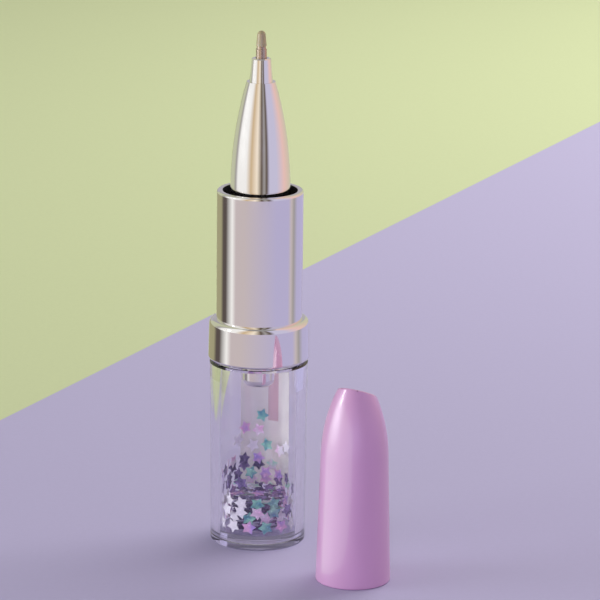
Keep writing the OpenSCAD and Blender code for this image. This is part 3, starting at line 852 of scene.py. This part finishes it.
CAMERA_AT = Vector((8.676, -758.09, 251.55)) * MM
CAMERA_LOOKS_AT = Vector((8.676, 0, 53.245)) * MM
CAMERA_ROLL = math.radians(0.634)
SENSOR = 36.0
FOCAL_PIXELS = 3669.6
IMAGE_PIXELS = 600

# Corners of the lilac sheet that lies on the ground, and half the width of the ground
SHEET = ((-0.07, 0.0717), (0.354, 0.956), (1.5, 0.956), (1.5, -1.0), (-1.5, -1.0), (-1.5, -0.1))
GROUND = 3.0
# Soft boxes: name, place, what they face, width, height, power, colour, spread in degrees and the rays that
# don't meet them. The last two are small, stand near the cap and show in gloss alone.
SOFT_BOXES = (
    ("left_box", (-1.0, -0.2, 0.16), (0.0, 0.0, 0.04), 0.6, 0.3, 6.2, "#F2F8FF", 180, ()),
    ("front_box", (0.0, -1.06, 0.15), (0.0, 0.0, 0.04), 0.8, 0.3, 2.8, "#D0C6FF", 180, ()),
    (
        "back_box", (0.45, 0.5, 0.5), (0.03, 0.1, 0.0), 0.7, 0.7, 4.7, "#FFFFFF", 180,
        ("glossy", "transmission"),
    ),
    (
        "strip_box", (0.006, -0.073, 0.022), (0.02, -0.073, 0.022), 0.092, 0.044, 0.0262, "#D4FFDA", 180,
        ("diffuse", "transmission"),
    ),
    (
        "glint_box", (-0.11, -0.047, 0.095), (0.02, -0.027, 0.039), 0.03, 0.05, 0.0015, "#FFFFFF", 20,
        ("diffuse", "transmission"),
    ),
)
# Bent cards that stand round the pen and glow, though they are no lamps, so that their tints show as painted
# reflections in the bright parts:
# name, lower edge, upper edge, whether they also show through the jar, and bearings from the camera towards
# +X in degrees with the tint there
CARD_RING = 0.13
# Tints of the cards' glow: painted reflections, among them the white, dark and brown bands in the bright
# parts
CARD_TINTS = {
    "white": "#FFFFFF", "paper": "#CFC3C6", "lilac": "#BFB9DE", "grey": "#A8A4A4", "dark": "#5E5552",
    "olive": "#A9A584", "leaf": "#C8CCB0", "tan": "#D6BC98", "cream": "#FFF2DE", "brown": "#5E5044",
    "peach": "#F2CCC6", "haze": "#CFCCE8",
}
CARDS = (
    ("side_card", 0.0, 0.05, False, ((-160, "olive"), (-122, "olive"), (-110, "dark"))),
    ("low_card", 0.0, 0.05, True, (
        (-110, "dark"), (-98, "dark"), (-76, "white"), (-64, "paper"), (-40, "paper"), (45, "lilac"),
        (80, "lilac"), (90, "paper"), (100, "grey"), (115, "lilac"), (150, "lilac"),
    )),
    ("high_card", 0.05, 0.4, False, (
        (-150, "leaf"), (-120, "leaf"), (-106, "grey"), (-94, "white"), (-55, "white"), (-35, "tan"),
        (-12, "cream"), (5, "brown"), (15, "grey"), (25, "brown"), (36, "haze"), (65, "haze"),
        (102, "peach"), (166, "leaf"),
    )),
)


class GELPEN_OT_stage(bpy.types.Operator):
    """Sets the floor, the backdrop, the lights and the camera"""

    bl_idname = "gelpen.stage"
    bl_label = "Stage"

    def execute(self, context):
        scene = context.scene
        finish = scene.gelpen.finish
        self.floor(finish)
        for card in CARDS:
            self.card(*card)
        for box in SOFT_BOXES:
            self.soft_box(*box)
        self.world(scene, finish)
        self.camera(scene)
        scene.view_settings.view_transform = "Standard"
        return {"FINISHED"}

    @staticmethod
    def floor(finish):
        """A lilac sheet of matt paper on a pale green ground."""
        for name, colour, drop in (("sheet", finish.sheet, 0.02), ("ground", finish.ground, 0.3)):
            bm = bmesh.new()
            if name == "sheet":
                corners = [bm.verts.new((x, y, 0)) for x, y in SHEET]
                bmesh.ops.contextual_create(bm, geom=corners)
            else:
                bmesh.ops.create_grid(bm, x_segments=1, y_segments=1, size=GROUND)
            bmesh.ops.recalc_face_normals(bm, faces=bm.faces)
            bmesh.ops.translate(bm, verts=bm.verts, vec=(0, 0, -drop * MM))
            material, tree, place = blank("matt_paper_" + name)
            fibre = add(tree, "ShaderNodeTexNoise", {"Vector": place, "Scale": across(1.2), "Detail": 4.0})
            change = add(tree, "ShaderNodeMapRange", {"Value": fibre, **SPAN})
            shown = add(tree, "ShaderNodeMix", {
                "Factor": change, "A": shade(colour, 0.98), "B": colour[:],
            }, data_type="RGBA")
            show(tree, add(tree, "ShaderNodeBsdfPrincipled", {
                "Base Color": shown, "Roughness": 0.8, "Specular IOR Level": 0.0,
            }))
            put(name, bm, material)

    @staticmethod
    def card(name, low, high, through, stops):
        """A standing card, bent round the pen, that glows with its tints as a painted reflection though it is
        no lamp; it shows in reflections and, if asked, through the jar.
        """
        start, end = stops[0][0], stops[-1][0]
        bm = bmesh.new()
        draw(bm, (CARD_RING, low), (CARD_RING, high))
        bmesh.ops.rotate(
            bm, verts=bm.verts, cent=(0, 0, 0),
            matrix=Quaternion((0, 0, 1), math.radians(start - 90)).to_matrix(),
        )
        bmesh.ops.spin(
            bm, geom=bm.verts[:] + bm.edges[:], cent=(0, 0, 0), axis=(0, 0, 1),
            angle=math.radians(end - start), steps=SEGMENTS,
        )
        material, tree, place = blank(name)
        ahead = add(tree, "ShaderNodeMapping", {"Vector": place, "Rotation": (0, 0, math.radians(90))})
        turn = add(tree, "ShaderNodeTexGradient", {"Vector": ahead}, gradient_type="RADIAL")
        ramp = add(tree, "ShaderNodeValToRGB", {"Fac": turn.outputs["Fac"]})
        elements = ramp.color_ramp.elements
        for bearing, tint_name in stops[1:-1]:
            elements.new(0.5 + bearing / 360).color = linear(CARD_TINTS[tint_name])
        for element, (bearing, tint_name) in zip((elements[0], elements[-1]), (stops[0], stops[-1])):
            element.position, element.color = 0.5 + bearing / 360, linear(CARD_TINTS[tint_name])
        # The card glows with its tints though it is no lamp: painted reflections for the bright parts
        show(tree, add(tree, "ShaderNodeEmission", {"Color": ramp, "Strength": 1.0}))
        obj = put(name, bm, material)
        for ray in ("camera", "diffuse", "volume_scatter", "shadow"):
            setattr(obj, "visible_" + ray, False)
        obj.visible_transmission = through

    @staticmethod
    def soft_box(name, place, aim, width, height, power, code, spread, unmet):
        """A lamp with a soft rectangular face, which the camera and the rays named last don't meet."""
        lamp = bpy.data.lights.new(name, "AREA")
        lamp.shape, lamp.size, lamp.size_y, lamp.energy = "RECTANGLE", width, height, power
        lamp.color, lamp.spread = linear(code)[:3], math.radians(spread)
        obj = bpy.data.objects.new(name, lamp)
        bpy.context.scene.collection.objects.link(obj)
        obj.location = place
        obj.rotation_mode = "QUATERNION"
        obj.rotation_quaternion = (Vector(aim) - Vector(place)).to_track_quat("-Z", "Y")
        for ray in ("camera",) + unmet:
            setattr(obj, "visible_" + ray, False)

    @staticmethod
    def world(scene, finish):
        """Even grey light, a little paler at the horizon, which shows as a dim lilac through the jar."""
        world = bpy.data.worlds.new("studio")
        scene.world = world
        world.use_nodes = True
        tree = world.node_tree
        tree.nodes.clear()
        way = add(tree, "ShaderNodeTexCoord").outputs["Generated"]
        height = add(tree, "ShaderNodeSeparateXYZ", {"Vector": way}).outputs["Z"]
        share = add(tree, "ShaderNodeMapRange", {"Value": height, "From Min": 0.2, "From Max": 0.7})
        through = add(tree, "ShaderNodeLightPath").outputs["Is Transmission Ray"]
        low = add(tree, "ShaderNodeMix", {
            "Factor": through, "A": finish.horizon[:], "B": finish.dusk[:],
        }, data_type="RGBA")
        colour = add(tree, "ShaderNodeMix", {"Factor": share, "A": low, "B": finish.sky[:]}, data_type="RGBA")
        light = add(tree, "ShaderNodeBackground", {"Color": colour, "Strength": 1.0})
        add(tree, "ShaderNodeOutputWorld", {"Surface": light})

    @staticmethod
    def camera(scene):
        """The camera stands where the photograph's did."""
        data = bpy.data.cameras.new("camera")
        data.sensor_width = SENSOR
        data.lens = FOCAL_PIXELS * SENSOR / IMAGE_PIXELS
        data.clip_start, data.clip_end = 0.05, 20
        obj = bpy.data.objects.new("camera", data)
        scene.collection.objects.link(obj)
        obj.location = CAMERA_AT
        obj.rotation_mode = "QUATERNION"
        aim = (CAMERA_LOOKS_AT - CAMERA_AT).to_track_quat("-Z", "Y")
        obj.rotation_quaternion = aim @ Quaternion((0, 0, 1), CAMERA_ROLL)
        scene.camera = obj


OPERATORS = (
    GELPEN_OT_clear_jar, GELPEN_OT_jar_filling, GELPEN_OT_bright_shells, GELPEN_OT_bright_nose,
    GELPEN_OT_refill, GELPEN_OT_cap, GELPEN_OT_stage,
)


class VIEW3D_PT_gelpen(bpy.types.Panel):
    """Lists the pen's pieces and settings"""

    bl_idname = "VIEW3D_PT_gelpen"
    bl_label = "Gel pen"
    bl_space_type = "VIEW_3D"
    bl_region_type = "UI"
    bl_category = "Gel pen"

    def draw(self, context):
        for operator in OPERATORS:
            self.layout.operator(operator.bl_idname)
        pen = context.scene.gelpen
        for group in (pen.jar, pen.shell, pen.nose, pen.tip, pen.cap, pen.finish):
            box = self.layout.box()
            for key in group.__annotations__:
                box.prop(group, key)


GROUPS = (JarSizes, ShellSizes, NoseSizes, TipSizes, CapSizes, Finishes, PenSettings)
CLASSES = GROUPS + OPERATORS + (VIEW3D_PT_gelpen,)


def register():
    for cls in CLASSES:
        bpy.utils.register_class(cls)
    bpy.types.Scene.gelpen = PointerProperty(type=PenSettings)


def unregister():
    del bpy.types.Scene.gelpen
    for cls in reversed(CLASSES):
        bpy.utils.unregister_class(cls)


def main():
    register()
    bpy.ops.gelpen.clear_jar()
    bpy.ops.gelpen.jar_filling()
    bpy.ops.gelpen.bright_shells()
    bpy.ops.gelpen.bright_nose()
    bpy.ops.gelpen.refill()
    bpy.ops.gelpen.cap()
    bpy.ops.gelpen.stage()


if __name__ == "__main__":
    main()
